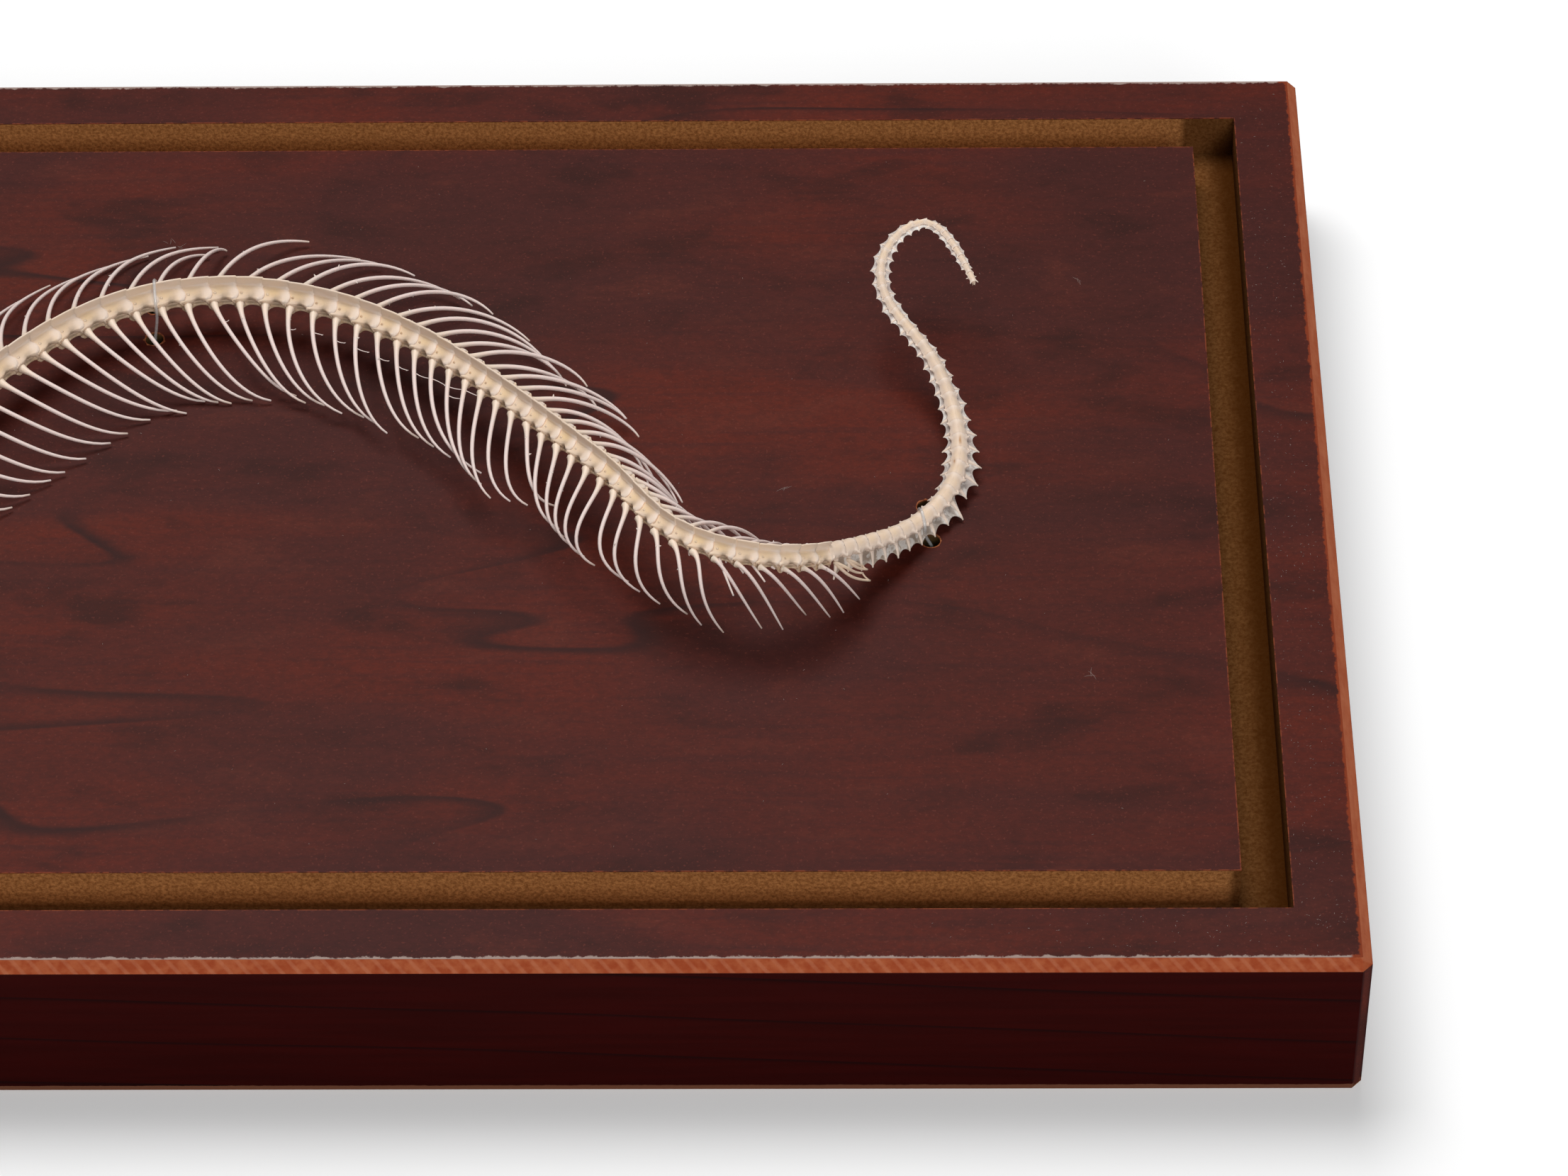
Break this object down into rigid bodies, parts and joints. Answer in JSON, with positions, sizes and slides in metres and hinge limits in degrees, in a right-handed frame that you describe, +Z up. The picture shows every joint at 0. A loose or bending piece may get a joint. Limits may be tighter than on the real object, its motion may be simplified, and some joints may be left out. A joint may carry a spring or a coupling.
{
  "type": "mounted snake skeleton",
  "caption": "Still skeleton of a small water snake in a wave, held by clear ties on a grooved, red-brown wooden plaque.",
  "frame": {"origin": "middle of the plaque's underside", "axes": "+X along the plaque to the tail's end, +Y to its back edge, +Z up from its top"},
  "size_m": [0.34, 0.1256, 0.0301],
  "materials": {
    "plaque": "dark red wood print on fibreboard",
    "bone": "dry ivory bone",
    "rib_bone": "dry grey-white bone",
    "filament": "clear nylon"
  },
  "bodies": {
    "root": {"board": "plaque", "cranium": "bone", "maxilla_left": "bone", "maxilla_right": "bone", "palate_left": "bone", "palate_right": "bone", "quadrate_left": "bone", "quadrate_right": "bone", "mandible_left": "bone", "mandible_right": "bone", "neck_left": "rib_bone", "neck_right": "rib_bone", "trunk_1_left": "rib_bone", "trunk_1_right": "rib_bone", "trunk_2_left": "rib_bone", "trunk_2_right": "rib_bone", "trunk_3_left": "rib_bone", "trunk_3_right": "rib_bone", "trunk_4_left": "rib_bone", "trunk_4_right": "rib_bone", "trunk_5_left": "rib_bone", "trunk_5_right": "rib_bone", "trunk_6_left": "rib_bone", "trunk_6_right": "rib_bone", "tail_1": "bone", "tail_2": "bone", "tail_3": "bone", "tie_1": "filament", "tie_2": "filament", "tie_3": "filament", "tie_4": "filament", "tie_5": "filament"}
  },
  "joints": []
}
